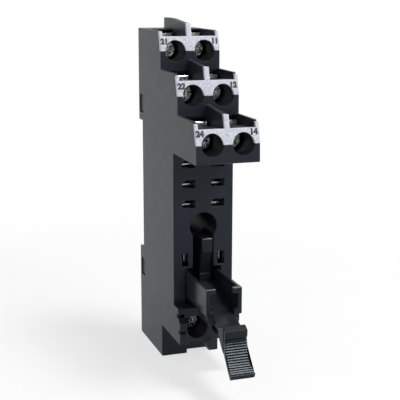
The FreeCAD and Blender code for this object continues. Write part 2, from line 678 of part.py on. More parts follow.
def housing():
    shell = body("housing_shell")
    pad(shell, "housing_form", outline(shell, "housing_outline", "YZ_Plane", housing_profile()), s.bodyWidth)
    fins = []
    for index in range(len(TIERS)):
        here = tier(index)
        rear = s.footReach if index == 0 else here.front + s.tierStep + PAST
        back = s.plateThick + s.plateGap
        crest = here.line + s.plateTongue
        fin = [(here.front + back, here.line), (here.front + back + LEAN * s.plateTongue, crest),
               (here.front + s.tierStep, crest + s.finRise), (rear, crest + s.finRise), (rear, here.line)]
        fins.append(prism(f"fin_{TIERS[index]}", "YZ_Plane", fin, (-s.finWidth / 2, s.finWidth / 2)))
    ledge, drop, corner = -s.blockBottom + s.tabLedge, -s.blockBottom - s.tabDrop, s.tabCorner
    tab = [(-s.tabHalf, ledge), (-s.tabHalf, drop + corner), (-s.tabHalf + corner, drop),
           (s.tabHalf - corner, drop), (s.tabHalf, drop + corner), (s.tabHalf, ledge)]
    front = s.blockFront + s.tabProud
    lower_tab = prism("lower_tab", "XZ_Plane", tab, (front - s.tabDeep, front))
    form = fuse("housing_solid", [shell, lower_tab] + fins)
    tools = []
    for terminal in TERMINALS:
        tools += terminal_cuts(terminal)
    for side in SIDES:
        tools += strip_cuts(side) + coil_cuts(side)
    for index in range(len(TIERS)):
        here = tier(index)
        peg_line = here.line + s.pegHeight
        tools.append(rod(f"peg_hole_{TIERS[index]}", "y", s.pegRadius + s.pegPlay, (0, peg_line),
                         (here.front, plate_back(here, peg_line) + s.pegLength + s.plateGap)))
    clear = s.coverPlay
    tools.append(box("rear_pocket", (-INNER, INNER), (POCKET, s.footReach + PAST),
                     (-s.bottomDepth + s.endWall, s.topHeight - s.endWall)))
    tools.append(box("foot_hollow", (-INNER, INNER), (-s.footFront + s.endWall, POCKET + clear),
                     (-s.bottomDepth + s.endWall, -s.blockBottom - s.endWall)))
    tools.append(box("tab_notch", (-s.tabLeft - s.tabPlay, s.tabRight + s.tabPlay),
                     (-s.footFront - PAST, s.footReach - s.coverThick),
                     (-s.bottomDepth - PAST, -s.bottomDepth + s.endWall + BITE)))
    for side in SIDES:
        for label, height in (("upper", s.windowUpper), ("lower", -s.windowLower)):
            tools.append(box(f"window_{label}_{side + 1}", between(side, INNER - BITE, HALF + PAST),
                             (-s.windowFront, s.windowRear),
                             (height - s.windowTall / 2, height + s.windowTall / 2)))
        for label, height, face in (("upper", s.notchUpper, -s.blockFront + s.blockStep),
                                    ("lower", s.notchLower, -s.blockFront)):
            tools.append(box(f"edge_notch_{label}_{side + 1}", between(side, HALF - s.notchWide, HALF + PAST),
                             (face - PAST - s.blockStep, face + s.notchDeep),
                             (-height - s.notchTall, -height)))
    tools.append(rod("bolt_well", "y", s.boltWell, (0, -s.boltHeight), (-s.seatFront - PAST, -s.boltFloor)))
    tools.append(rod("bolt_hole", "y", s.boltRadius, (0, -s.boltHeight),
                     (-s.boltFloor - PAST, POCKET + PAST)))
    tools.append(box("tongue_channel", (-s.channelHalf, s.channelHalf),
                     (-s.seatFront - PAST, -s.seatFront + s.channelDepth),
                     (-s.blockTop + s.endWall, -s.channelTop)))
    cheek = s.armOuter + s.cheekGap
    tools.append(box("clamp_recess", (-cheek, cheek), (-s.seatFront - PAST, -s.recessFloor),
                     (-s.blockTop, -s.recessTop)))
    pin_end = s.armOuter + s.pinReach + s.pinEnd
    tools.append(rod("pivot_bore", "x", s.pinRadius + s.pinPlay, (-s.pivotY, -s.pivotZ),
                     (-pin_end, pin_end)))
    hollow = cut("housing_hollow", form, tools)
    stiffeners = [box(f"stiffener_{side + 1}", between(side, s.stiffenerX, s.stiffenerX + s.stiffener),
                      (-s.footFront + BITE, s.clipFront - s.clipPlay),
                      (-s.bottomDepth + s.endWall + s.clipTravel, -s.blockBottom - BITE)) for side in SIDES]
    return fuse("housing", [hollow] + stiffeners)


# Terminal screws, wire clamps and contact strips


def terminal_screw(terminal):
    name = f"screw_{terminal.mark}"
    centre = (terminal.across, terminal.line)
    seat = terminal.head + s.headThick
    head = soften(name + "_head_round", rod(name + "_head", "y", s.headRadius, centre, (terminal.head, seat)),
                  s.headRound, lambda edge: abs(edge.CenterOfMass.y - number(terminal.head)) < NEAR
                  and edge.Curve.TypeId == "Part::GeomCircle")
    tip = strip_front(terminal) - s.tipGap
    shank = rod(name + "_shank", "y", s.shankRadius, centre, (seat - BITE, tip))
    depth = (terminal.head - PAST, terminal.head + s.slotDepth)
    half = s.slotWidth / 2
    reach = s.crossReach
    across, line = centre
    slot = box(name + "_slot", (across - half, across + half), depth,
               (line - s.headRadius - PAST, line + s.headRadius + PAST))
    cross = box(name + "_cross", (across - reach, across + reach), depth, (line - half, line + half))
    return cut(f"terminal_screw_{terminal.mark}", fuse(name + "_solid", [head, shank]), [slot, cross])


def wire_clamp(terminal):
    name = f"clamp_{terminal.mark}"
    front = clamp_front(terminal)
    rear = front + clamp_depth()
    low, high = clamp_span(terminal)
    half = CLAMP_WIDTH / 2
    block = soften(name + "_round", box(name + "_block", (terminal.across - half, terminal.across + half),
                                        (front, rear), (low, high)),
                   s.clampRound, lambda edge: straight(edge, "z"))
    inner = half - s.clampSide
    bore = box(name + "_bore", (terminal.across - inner, terminal.across + inner),
               (front + s.clampWall, rear - s.clampWall), (low - PAST, high + PAST))
    thread = rod(name + "_thread", "y", s.shankRadius + s.threadPlay, (terminal.across, terminal.line),
                 (front - PAST, front + s.clampWall + BITE))
    return cut(f"wire_clamp_{terminal.mark}", block, [bore, thread])


def fork_points(rear, height, sheet_thick):
    # a receptacle seen from its edge: two leaves that pinch near their mouth
    mouth = -s.seatFront + s.seatSkin + s.leafSetback
    grip = mouth + s.leafPinchBack
    root_gap, pinch, lip = s.leafRear, s.leafPinch, s.leafMouth
    return [(rear, height - root_gap - sheet_thick), (grip, height - pinch - sheet_thick),
            (mouth, height - lip - sheet_thick), (mouth, height - lip), (grip, height - pinch),
            (rear, height - root_gap), (rear, height + root_gap), (grip, height + pinch),
            (mouth, height + lip), (mouth, height + lip + sheet_thick), (grip, height + pinch + sheet_thick),
            (rear, height + root_gap + sheet_thick)]


def contact_strip(terminal):
    # cut from sheet and bent: pad in the wire clamp, leg, and receptacle behind its slot
    thick = s.stripThick
    height = row_height(ROW_OF_TIER[terminal.row])
    web = fork_rear()
    front = strip_front(terminal)
    top = clamp_span(terminal)[1]
    fork = fork_points(web, height, thick)
    low = height - s.leafRear - thick
    high = height + s.leafRear + thick
    if terminal.row == 2:
        run = tier(2).under + s.runHeight
        points = fork + [(web, run), (front, run), (front, top), (front + thick, top),
                         (front + thick, run + thick), (web + thick, run + thick), (web + thick, low)]
    else:
        points = fork + [(web + thick, high), (web + thick, height + thick / 2), (front, height + thick / 2),
                         (front, top), (front + thick, top), (front + thick, height - thick / 2),
                         (web + thick, height - thick / 2), (web + thick, low)]
    half = s.stripWidth / 2
    return prism(f"contact_strip_{terminal.mark}", "YZ_Plane", points,
                 (terminal.across - half, terminal.across + half))


def coil_strip(terminal):
    name = f"strip_{terminal.mark}"
    thick = s.stripThick
    side = terminal.side
    front = strip_front(terminal)
    pad_half = CLAMP_WIDTH / 2 - s.clampSide - s.coilPadPlay
    leg_half = s.coilLegWide / 2
    foot, head = clamp_span(terminal)
    shoulder = head - s.shoulderDrop
    near, far = terminal.across - side * pad_half, terminal.across + side * pad_half
    leg_near, leg_far = side * (s.coilSlotX - leg_half), side * (s.coilSlotX + leg_half)
    crown = -s.coilSlotZ + s.coilSlotTall / 2
    clear = head + s.play
    flat = [(near, foot), (far, foot), (far, clear), (leg_far, clear + s.shoulderRise), (leg_far, crown),
            (leg_near, crown), (leg_near, shoulder + s.shoulderRise), (near, shoulder)]
    leg = prism(name + "_leg", "XZ_Plane", flat, (-front - thick, -front))
    fork = [(side * s.coilSlotX + offset, along) for along, offset in
            fork_points(front + BITE, as_size(0), thick)]
    leaf_foot = -s.coilSlotZ - s.coilSlotTall / 2 + s.leafInset
    forks = [prism(f"{name}_leaf{index}", "XY_Plane", points, (leaf_foot, crown - s.leafInset))
             for index, points in enumerate((fork[:6], fork[6:]))]
    doc.recompute()
    return fuse(f"contact_strip_{terminal.mark}", [leg] + forks)


# Relay clamp: two arms, a ribbed thumb lever and the ejector tongue in one moulding


def clamp_arm(side):
    front, rear, top, bottom = -s.armFront, -s.armRear, -s.armTop, -s.armBottom
    corner = s.armRound
    profile = [(front, bottom), (rear, bottom), (rear, top - corner, corner), (rear - corner, top),
               (front, top)]
    return prism(f"clamp_arm_{side + 1}", "YZ_Plane", profile,
                 between(side, s.armOuter - s.armThick, s.armOuter))


def lever_profile():
    # side view of the lever: sloping floor, neck and hollowed thumb piece
    tip_y, tip_z = -s.thumbTipY, -s.thumbTipZ
    front, bottom, web = -s.armFront, -s.armBottom, -s.webTop
    brow_y, brow_z = -s.thumbTopY, -s.thumbTopZ
    heel = front - s.heelReach
    return [(-s.webRear, web - s.webDeep), (-s.webRear, web), (-s.webFront, web),
            (-s.webFront - s.floorRun, web - s.floorFall), (front, web - s.floorEnd),
            (front - s.dipReach, bottom - s.dipFall), (brow_y + s.thumbBack, brow_z + s.thumbRise),
            (brow_y, brow_z), (brow_y + s.browLean, -s.thumbArcZ + s.browFoot),
            (-s.thumbArcY, -s.thumbArcZ, -s.thumbArc), (tip_y, tip_z), (tip_y, tip_z - s.tipTall),
            (tip_y + s.tipBack, tip_z - s.tipFall), (heel, bottom - s.heelFall),
            (heel + s.heelSet, bottom - s.heelTop), (front + s.keelFront, bottom - s.keelFall),
            (front + s.keelRear, bottom - s.keelEnd)]


def lever():
    form = prism("lever_form", "YZ_Plane", lever_profile(), (-s.armOuter, s.armOuter))
    inner = s.armOuter - s.armThick / 2
    waist, narrow, wide = s.leverHalf, s.thumbHalf - s.thumbTaper, s.thumbHalf
    rear, behind, before = -s.armRear + PAST, -s.armFront + s.waistSet, -s.thumbTipY - PAST
    step = -s.thumbTopY + s.waistEnd
    plan = [(-inner, rear), (-inner, behind), (-waist, behind), (-waist, step), (-narrow, step - s.waistStep),
            (-wide, before), (wide, before), (narrow, step - s.waistStep), (waist, step), (waist, behind),
            (inner, behind), (inner, rear)]
    shape = prism("lever_plan", "XY_Plane", plan, (-s.bottomDepth, -s.armTop))
    doc.recompute()
    joined = doc.addObject("Part::Common", "lever_body")
    joined.Base = form
    joined.Tool = shape
    return joined


def grip_ribs():
    ribs = []
    for index in range(GRIP_RIBS):
        angle = s.gripFirst + index * s.gripPitch
        along = -s.thumbArcY - s.thumbArc + s.thumbArc * cosine(angle)
        height = -s.thumbArcZ - s.thumbArc * sine(angle)
        half = s.thumbHalf - s.thumbTaper + index * s.thumbTaper / GRIP_RIBS
        ribs.append(rod(f"grip_rib_{index}", "x", s.gripRadius, (along, height), (-half, half)))
    return ribs


def tongue():
    sides = (-s.tongueLeft, s.tongueRight)
    step = box("tongue_step", sides, (-s.webFront, -s.neckRear), (-s.webTop - PAST, -s.tongueStep))
    low, high = -s.tongueStep - BITE, -s.padBottom + BITE
    neck = prism("tongue_neck", "YZ_Plane", [(-s.neckFoot, low), (-s.neckRear, low), (-s.neckRear, high),
                                             (-s.neckTop, high)], sides)
    pad_block = box("tongue_pad", sides, (-s.seatFront, -s.neckRear), (-s.padBottom, -s.padTop))
    return [step, neck, pad_block]


def relay_clamp():
    pieces = [clamp_arm(side) for side in SIDES] + [lever()] + grip_ribs() + tongue()
    inner = s.armOuter - s.armThick
    for side in SIDES:
        lip = between(side, inner - s.lipReach, inner + BITE)
        pieces.append(box(f"lip_{side + 1}", lip, (-s.armFront, -s.armFront + s.lipThick),
                          (-s.armTop - s.lipTall, -s.armTop)))
        pieces.append(rod(f"boss_{side + 1}", "x", s.bossRadius,
                          (-s.armFront + s.bossRadius, -s.armBottom + s.bossRise),
                          between(side, s.leverHalf - BITE, inner + BITE)))
        pieces.append(rod(f"pivot_pin_{side + 1}", "x", s.pinRadius, (-s.pivotY, -s.pivotZ),
                          between(side, s.armOuter - BITE, s.armOuter + s.pinReach)))
    return fuse("relay_clamp", pieces)


# Rear cover with its fixed hook, and the sliding rail clip


def rear_cover():
    half_rail = s.railSlot / 2
    thick, reach = s.coverThick, s.footReach
    top = s.topHeight - s.endWall - s.coverPlay
    bottom = -s.bottomDepth + s.endWall + s.coverPlay
    profile = [(0, half_rail), (reach, half_rail), (reach, top), (reach - thick, top),
               (reach - thick, half_rail + thick), (-thick, half_rail + thick), (-thick, -half_rail - thick),
               (reach - thick, -half_rail - thick), (reach - thick, bottom), (reach, bottom),
               (reach, -half_rail), (0, -half_rail)]
    half = INNER - s.coverPlay
    plate = prism("cover_plate", "YZ_Plane", profile, (-half, half))
    tip, crest = half_rail - s.hookDrop, half_rail + BITE
    hook = [(s.hookGap, tip), (s.hookGap + s.hookLip, tip), (reach, half_rail - s.hookSlope), (reach, crest),
            (s.hookGap, crest)]
    pieces = [plate, prism("cover_hook", "YZ_Plane", hook, (-half, half))]
    for side in SIDES:
        for label, height in (("upper", s.windowUpper), ("lower", -s.windowLower)):
            tall = s.windowTall / 2 - s.lugPlay
            spread = (height - tall, height + tall)
            pieces.append(box(f"lug_arm_{label}_{side + 1}", between(side, half - s.lugArm, half),
                              (-s.windowFront + s.lugPlay, reach - thick + BITE), spread))
            pieces.append(box(f"lug_{label}_{side + 1}", between(side, half - BITE, HALF - s.lugSink),
                              (-s.windowFront + s.lugPlay, s.windowRear - s.lugPlay), spread))
    opening = box("clip_opening", (-s.clipHalf - s.clipPlay, s.clipHalf + s.clipPlay),
                  (-thick - PAST, reach + PAST),
                  (CLIP_CORE_FOOT - s.clipTravel - s.clipPlay, -half_rail + s.clipPlay))
    bolt = rod("cover_bolt_hole", "y", s.boltRadius, (0, -s.boltHeight), (-thick - PAST, PAST))
    return cut("rear_cover", fuse("cover_solid", pieces), [opening, bolt])


def rail_clip():
    half_rail = s.railSlot / 2
    nose = -half_rail + s.clipNose
    shoulder = -half_rail - BITE
    thick_rear = s.footReach - s.coverThick - s.clipPlay
    side_view = [(s.clipFront, CLIP_CORE_FOOT), (s.clipRear, CLIP_CORE_FOOT),
                 (s.clipRear, nose - s.clipNoseFall), (s.hookGap + s.hookLip, nose), (s.hookGap, nose),
                 (s.hookGap, shoulder), (s.clipFront, shoulder)]
    core = prism("clip_core", "YZ_Plane", side_view, (-s.clipHalf, s.clipHalf))
    flange = box("clip_flange", (-s.clipHalf - s.clipFlange, s.clipHalf + s.clipFlange),
                 (s.clipFront, thick_rear), (CLIP_FOOT, -half_rail - s.coverThick - s.clipPlay - BITE))
    tab = box("clip_tab", (-s.tabLeft, s.tabRight), (s.clipFront, thick_rear),
              (-s.bottomDepth + s.tabRise, CLIP_FOOT + BITE))
    middle = (s.tabRight - s.tabLeft) / 2
    eye_foot = -s.bottomDepth + s.eyeRise
    eye = box("clip_eye", (middle - s.eyeWide / 2, middle + s.eyeWide / 2),
              (s.clipFront - PAST, thick_rear + PAST), (eye_foot, eye_foot + s.eyeTall))
    return cut("rail_clip", fuse("clip_solid", [core, flange, tab]), [eye])


# Making, checking and writing the pieces

finished = [housing(), rear_cover(), rail_clip(), relay_clamp()]
finished += [marking_plate(index, name) for index, name in enumerate(TIERS)]
for terminal in TERMINALS:
    finished.append(terminal_screw(terminal))
    finished.append(wire_clamp(terminal))
    finished.append(contact_strip(terminal) if terminal.row < 3 else coil_strip(terminal))
doc.recompute()

for item in doc.Objects:
    if "Invalid" in item.State or "Error" in item.State:
        raise RuntimeError(f"{item.Name} failed: {item.State}")
for piece in finished:
    shape = piece.Shape
    if shape.isNull() or not shape.isValid() or not shape.Solids:
        raise RuntimeError(f"{piece.Label} has no valid shape")
    print(f"{piece.Label}: {len(shape.Solids)} solid, {shape.Volume:.1f} mm3")

os.makedirs("parts", exist_ok=True)
for piece in finished:
    piece.Shape.exportStep(f"parts/{piece.Label}.step")
print(len(finished), "pieces written")
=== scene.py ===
import math

import bmesh
import bpy
from mathutils import Matrix, Vector
from mathutils.bvhtree import BVHTree


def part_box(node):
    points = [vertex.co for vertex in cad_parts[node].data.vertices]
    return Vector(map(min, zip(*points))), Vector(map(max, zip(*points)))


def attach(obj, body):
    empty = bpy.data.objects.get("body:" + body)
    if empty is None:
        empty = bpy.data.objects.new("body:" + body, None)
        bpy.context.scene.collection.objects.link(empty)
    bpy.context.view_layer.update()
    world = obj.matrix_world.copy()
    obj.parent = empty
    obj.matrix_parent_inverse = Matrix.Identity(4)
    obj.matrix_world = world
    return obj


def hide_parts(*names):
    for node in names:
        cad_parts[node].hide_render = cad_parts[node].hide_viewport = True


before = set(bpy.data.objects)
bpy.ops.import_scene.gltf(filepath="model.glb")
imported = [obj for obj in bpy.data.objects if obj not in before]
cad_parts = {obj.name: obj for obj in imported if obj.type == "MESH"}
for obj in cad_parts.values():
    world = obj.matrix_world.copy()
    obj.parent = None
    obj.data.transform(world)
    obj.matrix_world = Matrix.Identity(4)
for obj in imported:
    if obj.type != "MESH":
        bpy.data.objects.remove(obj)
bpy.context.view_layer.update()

mm = 0.001
terminals = ("11", "12", "14", "21", "22", "24", "a1", "a2")
print("frame loaded")


# colours and nodes

def hexColour(code):
    # sRGB hex to the linear colour that a shader wants
    parts = [int(code[i:i + 2], 16) / 255 for i in (1, 3, 5)]
    return tuple(c / 12.92 if c <= 0.04045 else ((c + 0.055) / 1.055) ** 2.4 for c in parts) + (1.0,)


def addNode(material, kind, settings=None, **inputs):
    # one node with its settings; each input goes by its identifier without spaces, and takes a
    # value, an output, or a whole node, which stands for the first output that it has in use
    node = material.node_tree.nodes.new(kind)
    for name, value in (settings or {}).items():
        setattr(node, name, value)
    for name, value in inputs.items():
        socket = next(each for each in node.inputs if each.identifier.replace(" ", "") == name)
        if isinstance(value, bpy.types.Node):
            value = next(each for each in value.outputs if each.enabled)
        if isinstance(value, bpy.types.NodeSocket):
            material.node_tree.links.new(value, socket)
        else:
            socket.default_value = value
    return node


def newMaterial(name):
    # an empty material, and the place on the piece that its patterns go by
    material = bpy.data.materials.new(name)
    material.use_nodes = True
    material.node_tree.nodes.clear()
    return material, addNode(material, "ShaderNodeTexCoord").outputs["Object"]


def finishMaterial(material, shader):
    addNode(material, "ShaderNodeOutputMaterial", Surface=shader)
    return material


plasticPattern = {"flowSize": 7 * mm, "handlingSize": 2.2 * mm, "handlingSpread": 0.07, "tint": "#e2f1fb"}


def mouldedPlastic(name, finish):
    # glass-filled polyamide or acetal from a spark-eroded mould: near black, with faint cloudy flow
    # marks and an even grain that breaks up the highlight and takes most of the shine away; the real
    # grain of a few hundredths of a millimetre is too fine to show, so it is drawn about ten times as coarse
    material, place = newMaterial(name)
    flow = addNode(material, "ShaderNodeTexNoise", Vector=place, Scale=1 / plasticPattern["flowSize"],
                   Detail=3.0, Roughness=0.55)
    grain = addNode(material, "ShaderNodeTexNoise", Vector=place, Scale=1 / finish["grain"],
                    Detail=2.0, Roughness=0.6)
    handling = addNode(material, "ShaderNodeTexNoise", Vector=place,
                       Scale=1 / plasticPattern["handlingSize"], Detail=4.0, Roughness=0.65)
    relief = addNode(material, "ShaderNodeBump", Height=grain, Strength=0.35, Distance=finish["grainDepth"])
    colour = addNode(material, "ShaderNodeMix", {"data_type": "RGBA"}, Factor_Float=flow,
                     A_Color=hexColour(finish["dark"]), B_Color=hexColour(finish["light"]))
    dullness = addNode(material, "ShaderNodeMapRange", Value=handling,
                       ToMin=finish["roughness"] - plasticPattern["handlingSpread"],
                       ToMax=finish["roughness"] + plasticPattern["handlingSpread"])
    shader = addNode(material, "ShaderNodeBsdfPrincipled", BaseColor=colour, Roughness=dullness,
                     Normal=relief, IOR=1.5, SpecularIORLevel=finish["shine"],
                     SpecularTint=hexColour(plasticPattern["tint"]))
    return finishMaterial(material, shader)


metalPattern = {"dentSize": 0.45 * mm, "duller": 0.15, "shinier": 0.05}


def platedMetal(name, finish):
    # steel or copper alloy, barrel plated with zinc or tin after forming: a grey shine in cloudy
    # patches, with the small dents of tumbling parts that throw separate glints; where the dark colour
    # is near black, as on the screws, the dark patches are painted shade for the dark hollows that the metal
    # mirrors
    material, place = newMaterial(name)
    cloud = addNode(material, "ShaderNodeTexNoise", Vector=place, Scale=1 / finish["cloudSize"],
                    Detail=4.0, Roughness=0.6)
    platingToneAndPaintedShade = addNode(material, "ShaderNodeMapRange", Value=cloud, FromMin=0.5 - finish["cloudSpread"],
                      FromMax=0.5 + finish["cloudSpread"])
    dents = addNode(material, "ShaderNodeTexNoise", Vector=place, Scale=1 / metalPattern["dentSize"],
                    Detail=3.0, Roughness=0.6)
    relief = addNode(material, "ShaderNodeBump", Height=dents, Strength=0.5, Distance=finish["dentDepth"])
    colour = addNode(material, "ShaderNodeMix", {"data_type": "RGBA"}, Factor_Float=platingToneAndPaintedShade,
                     A_Color=hexColour(finish["dark"]), B_Color=hexColour(finish["light"]))
    dullness = addNode(material, "ShaderNodeMapRange", Value=platingToneAndPaintedShade,
                       ToMin=finish["roughness"] + metalPattern["duller"],
                       ToMax=finish["roughness"] - metalPattern["shinier"])
    shader = addNode(material, "ShaderNodeBsdfPrincipled", Metallic=1.0, BaseColor=colour,
                     Roughness=dullness, Normal=relief)
    return finishMaterial(material, shader)


def platePlastic(name, finish):
    # pale grey moulded polycarbonate with a matt grain, so it looks slightly speckled; the speckle is
    # drawn coarser than the real one, which is too fine to show
    material, place = newMaterial(name)
    speckle = addNode(material, "ShaderNodeTexNoise", Vector=place, Scale=1 / finish["speckleSize"],
                      Detail=3.0, Roughness=0.7)
    broad = addNode(material, "ShaderNodeTexNoise", Vector=place, Scale=1 / finish["patchSize"],
                    Detail=2.0, Roughness=0.5)
    spread = addNode(material, "ShaderNodeMapRange", Value=speckle, FromMin=0.3, FromMax=0.7)
    relief = addNode(material, "ShaderNodeBump", Height=speckle, Strength=0.3,
                     Distance=finish["speckleDepth"])
    colour = addNode(material, "ShaderNodeMix", {"data_type": "RGBA"}, Factor_Float=spread,
                     A_Color=hexColour(finish["dark"]), B_Color=hexColour(finish["light"]))
    dullness = addNode(material, "ShaderNodeMapRange", Value=broad, ToMin=finish["shinier"],
                       ToMax=finish["duller"])
    shader = addNode(material, "ShaderNodeBsdfPrincipled", BaseColor=colour, Roughness=dullness,
                     Normal=relief, IOR=1.58)
    return finishMaterial(material, shader)


def printedInk(name, finish):
    # black pad-printed ink, a thin film a little uneven in colour and shine, which is drawn coarser
    # than the real film so that it shows
    material, place = newMaterial(name)
    film = addNode(material, "ShaderNodeTexNoise", Vector=place, Scale=1 / finish["filmSize"],
                   Detail=3.0, Roughness=0.6)
    relief = addNode(material, "ShaderNodeBump", Height=film, Strength=0.2, Distance=finish["filmDepth"])
    colour = addNode(material, "ShaderNodeMix", {"data_type": "RGBA"}, Factor_Float=film,
                     A_Color=hexColour(finish["dark"]), B_Color=hexColour(finish["light"]))
    dullness = addNode(material, "ShaderNodeMapRange", Value=film, ToMin=finish["shinier"],
                       ToMax=finish["duller"])
    shader = addNode(material, "ShaderNodeBsdfPrincipled", BaseColor=colour, Roughness=dullness,
                     Normal=relief)
    return finishMaterial(material, shader)


# pieces taken from the frame: merged, cleaned, and given their small moulded or stamped edges

cleaning = {"mergeWithin": 0.0005 * mm, "flatWithin": 0.5}
edgeDefaults = {"edgeSteps": 2, "corner": 28.0, "shortest": 1.5, "stray": 0.6}


def mergedCopy(node):
    work = bmesh.new()
    work.from_mesh(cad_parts[node].data)
    bmesh.ops.remove_doubles(work, verts=work.verts, dist=cleaning["mergeWithin"])
    bmesh.ops.dissolve_limit(work, angle_limit=math.radians(cleaning["flatWithin"]), verts=work.verts,
                             edges=work.edges)
    return work


def roundEdges(work, settings):
    # rounds each edge that turns by more than corner, in degrees, and is longer than shortest, in
    # widths; a point that a crowded corner throws off the old surface goes back to it
    rules = edgeDefaults | settings
    width = rules["edgeWidth"]
    surface = BVHTree.FromBMesh(work)
    sharp = [edge for edge in work.edges
             if edge.is_manifold and edge.calc_face_angle(0.0) > math.radians(rules["corner"])
             and edge.calc_length() > rules["shortest"] * width]
    bmesh.ops.bevel(work, geom=sharp, offset=width, offset_type="OFFSET", affect="EDGES",
                    segments=rules["edgeSteps"], profile=0.5, material=-1, clamp_overlap=False,
                    harden_normals=False)
    for vert in work.verts:
        nearest, _, _, away = surface.find_nearest(vert.co)
        if away > rules["stray"] * width:
            vert.co = nearest


def finishPiece(work, name, body, node, material, smooth=32.0):
    mesh = bpy.data.meshes.new(name)
    work.normal_update()
    work.to_mesh(mesh)
    work.free()
    mesh.shade_smooth()
    mesh.set_sharp_from_angle(angle=math.radians(smooth))
    mesh.materials.clear()
    mesh.materials.append(material)
    piece = bpy.data.objects.new(name, mesh)
    bpy.context.scene.collection.objects.link(piece)
    even = piece.modifiers.new("evenFaces", "WEIGHTED_NORMAL")
    even.weight = 90
    even.keep_sharp = True
    if node:
        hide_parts(node)
    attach(piece, body)


housingSettings = {"edgeWidth": 0.18 * mm, "dark": "#15181f", "light": "#1f222b", "roughness": 0.4,
                   "grain": 0.3 * mm, "grainDepth": 0.05 * mm, "shine": 0.24}
housingPlastic = mouldedPlastic("mouldedPolyamideBlack", housingSettings)
work = mergedCopy("housing")
roundEdges(work, housingSettings)
finishPiece(work, "housingMoulding", "socket_body", "housing", housingPlastic)

coverSettings = {"edgeWidth": 0.1 * mm, "dark": "#0f1015", "light": "#17181e", "roughness": 0.46,
                 "grain": 0.3 * mm, "grainDepth": 0.05 * mm, "shine": 0.3}
coverPlastic = mouldedPlastic("mouldedPolyamideCoverBlack", coverSettings)
work = mergedCopy("rear_cover")
roundEdges(work, coverSettings)
finishPiece(work, "rearCoverMoulding", "socket_body", "rear_cover", coverPlastic)

clipSettings = {"edgeWidth": 0.1 * mm, "dark": "#0d0d10", "light": "#16161a", "roughness": 0.33,
                "grain": 0.4 * mm, "grainDepth": 0.02 * mm, "shine": 0.4}
clipPlastic = mouldedPlastic("mouldedAcetalBlack", clipSettings)
work = mergedCopy("rail_clip")
roundEdges(work, clipSettings)
finishPiece(work, "railClipMoulding", "rail_clip", "rail_clip", clipPlastic)

clampSettings = {"edgeWidth": 0.17 * mm, "edgeSteps": 1, "dark": "#1b1e23", "light": "#24282d",
                 "roughness": 0.2, "grain": 0.28 * mm, "grainDepth": 0.02 * mm, "shine": 0.13}
clampPlastic = mouldedPlastic("mouldedPolyamideClampBlack", clampSettings)
work = mergedCopy("relay_clamp")
roundEdges(work, clampSettings)
finishPiece(work, "relayClampMoulding", "relay_clamp", "relay_clamp", clampPlastic)


# thumb grip: every rib of the clamp's lever gets the flat, up-facing step that catches the light;
# centre, radius, halfTop and taper are in millimetres, and first, pitch and tilt in degrees; the
# last rib stands less proud, so that it stays inside the solid's box

gripSettings = {"count": 15, "first": 2.5, "pitch": 4.72, "centre": (-59.3, -27.6), "radius": 7.66,
                "halfTop": 2.78, "taper": 0.27, "wide": 0.34 * mm, "proud": 0.25 * mm,
                "lastProud": 0.19 * mm, "sunk": 0.1 * mm, "tilt": 54.0, "edgeWidth": 0.03 * mm}
work = bmesh.new()
for index in range(gripSettings["count"]):
    along = math.radians(gripSettings["first"] + index * gripSettings["pitch"])
    spot = Vector((0, (gripSettings["centre"][0] + gripSettings["radius"] * math.cos(along)) * mm,
                   (gripSettings["centre"][1] - gripSettings["radius"] * math.sin(along)) * mm))
    half = (gripSettings["halfTop"] + index * gripSettings["taper"] / gripSettings["count"]) * mm
    last = index == gripSettings["count"] - 1
    proud = gripSettings["lastProud" if last else "proud"]
    size = Matrix.Diagonal((2 * half, gripSettings["wide"], proud + gripSettings["sunk"], 1))
    lift = Matrix.Translation((0, 0, (proud - gripSettings["sunk"]) / 2))
    turn = Matrix.Rotation(math.radians(90 - gripSettings["tilt"]), 4, "X")
    bmesh.ops.create_cube(work, size=1.0, matrix=Matrix.Translation(spot) @ turn @ lift @ size)
roundEdges(work, gripSettings)
finishPiece(work, "thumbGripRibs", "relay_clamp", None, clampPlastic)
print("mouldings done")


plateSettings = {"edgeWidth": 0.1 * mm, "dark": "#8f95a1", "light": "#cbcfd9", "speckleSize": 0.42 * mm,
                 "speckleDepth": 0.04 * mm, "patchSize": 4 * mm, "shinier": 0.38, "duller": 0.5}
plateGrey = platePlastic("mouldedPolycarbonatePaleGrey", plateSettings)
for tier in ("top", "middle", "bottom"):
    plate = f"marking_plate_{tier}"
    work = mergedCopy(plate)
    roundEdges(work, plateSettings)
    finishPiece(work, f"markingPlate_{tier}", "socket_body", plate, plateGrey)
print("marking plates done")


# numbers printed on the plates, in the places and size of the photo: each place is how far across
# and how high its foot is, and each tier its front and the height of its screws, in millimetres

numberSettings = {
    "height": 1.35 * mm, "capShare": 0.72, "spacing": 1.02, "bold": 0.15 * mm, "lift": 0.01 * mm,
    "lean": math.atan(1.29 / 4.87),
    "places": {"21": (-6.7, 39.3), "11": (6.7, 39.3), "22": (-6.7, 29.4), "12": (6.52, 29.42),
               "24": (-6.8, 19.85), "14": (6.46, 19.9)},
    "tiers": {"1": (-17.67, 37.5), "2": (-31.71, 27.63), "4": (-45.75, 17.76)},
    "dark": "#141417", "light": "#26262b", "filmSize": 0.4 * mm, "filmDepth": 0.01 * mm,
    "shinier": 0.4, "duller": 0.6,
}
numberInk = printedInk("padPrintedInkBlack", numberSettings)


def numberMesh(digits, settings):
    curve = bpy.data.curves.new("number", "FONT")
    curve.body = digits
    curve.align_x = "CENTER"
    curve.size = settings["height"] / settings["capShare"]
    curve.offset = settings["bold"]
    curve.space_character = settings["spacing"]
    holder = bpy.data.objects.new("number", curve)
    bpy.context.scene.collection.objects.link(holder)
    bpy.context.view_layer.update()
    mesh = bpy.data.meshes.new_from_object(holder)
    bpy.data.objects.remove(holder)
    return mesh


